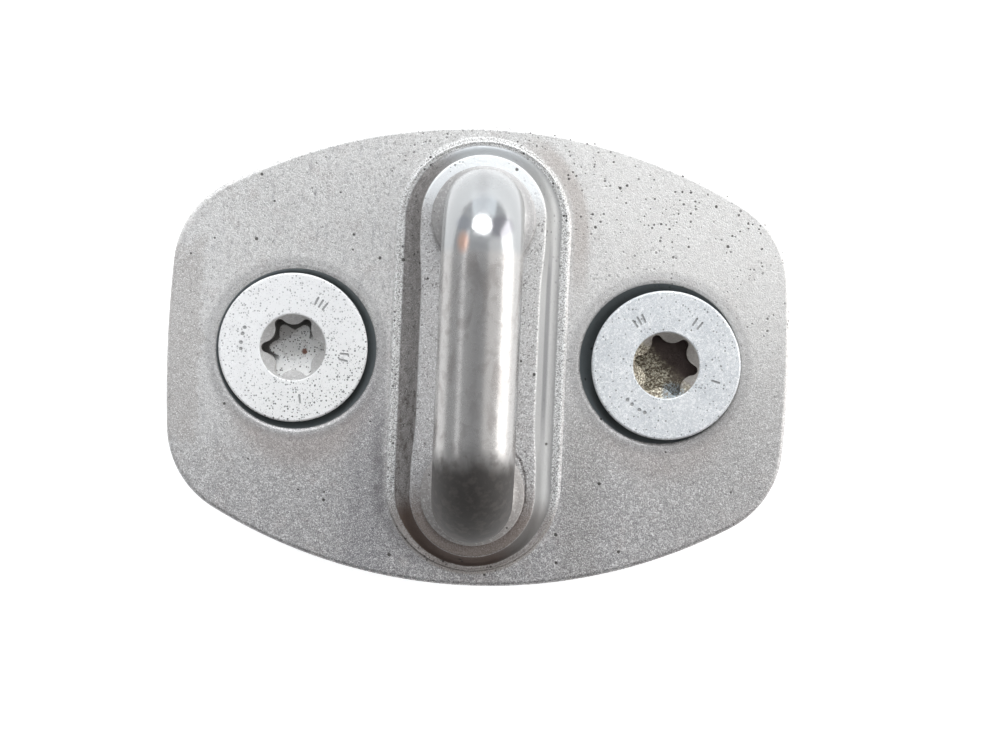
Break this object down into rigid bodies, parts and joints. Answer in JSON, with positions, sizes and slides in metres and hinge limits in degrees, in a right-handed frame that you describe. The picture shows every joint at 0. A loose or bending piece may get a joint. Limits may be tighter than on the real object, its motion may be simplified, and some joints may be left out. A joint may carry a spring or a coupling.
{
  "type": "door latch striker",
  "caption": "Thick steel striker plate with a fixed round-bar loop that a car door's latch grips, and loose countersunk screws held in the plate by small retainers.",
  "frame": {"origin": "centre of the plate's flat back face, the face that bolts to the door pillar", "axes": "+Z out of the front face towards the loop, +X from the left screw to the right screw, +Y along the loop from its lower leg to its upper leg"},
  "size_m": [0.066, 0.0488, 0.0536],
  "materials": {
    "plate_steel": "dull zinc-nickel over coined steel, slightly soiled",
    "loop_steel": "smooth and glossy, drawn round bar",
    "screw_zinc": "light satin zinc plating",
    "retainer_plastic": "moulded nylon"
  },
  "bodies": {
    "striker": {"striker_plate": "plate_steel", "striker_loop": "loop_steel"},
    "left_retainer_body": {"left_retainer": "retainer_plastic"},
    "left_screw_body": {"left_screw": "screw_zinc"},
    "right_retainer_body": {"right_retainer": "retainer_plastic"},
    "right_screw_body": {"right_screw": "screw_zinc"}
  },
  "joints": [
    {"name": "left_screw_lift", "type": "slide", "parent": "striker", "child": "left_retainer_body", "axis": [0, 0, 1], "range_m": [0, 0.0025]},
    {"name": "left_screw_spin", "type": "hinge", "parent": "left_retainer_body", "child": "left_screw_body", "pos_m": [-0.01963, 0.0001, 0], "axis": [0, 0, 1], "continuous": true},
    {"name": "right_screw_lift", "type": "slide", "parent": "striker", "child": "right_retainer_body", "axis": [0, 0, 1], "range_m": [0, 0.0025]},
    {"name": "right_screw_spin", "type": "hinge", "parent": "right_retainer_body", "child": "right_screw_body", "pos_m": [0.01993, -0.00016, 0], "axis": [0, 0, 1], "continuous": true}
  ]
}
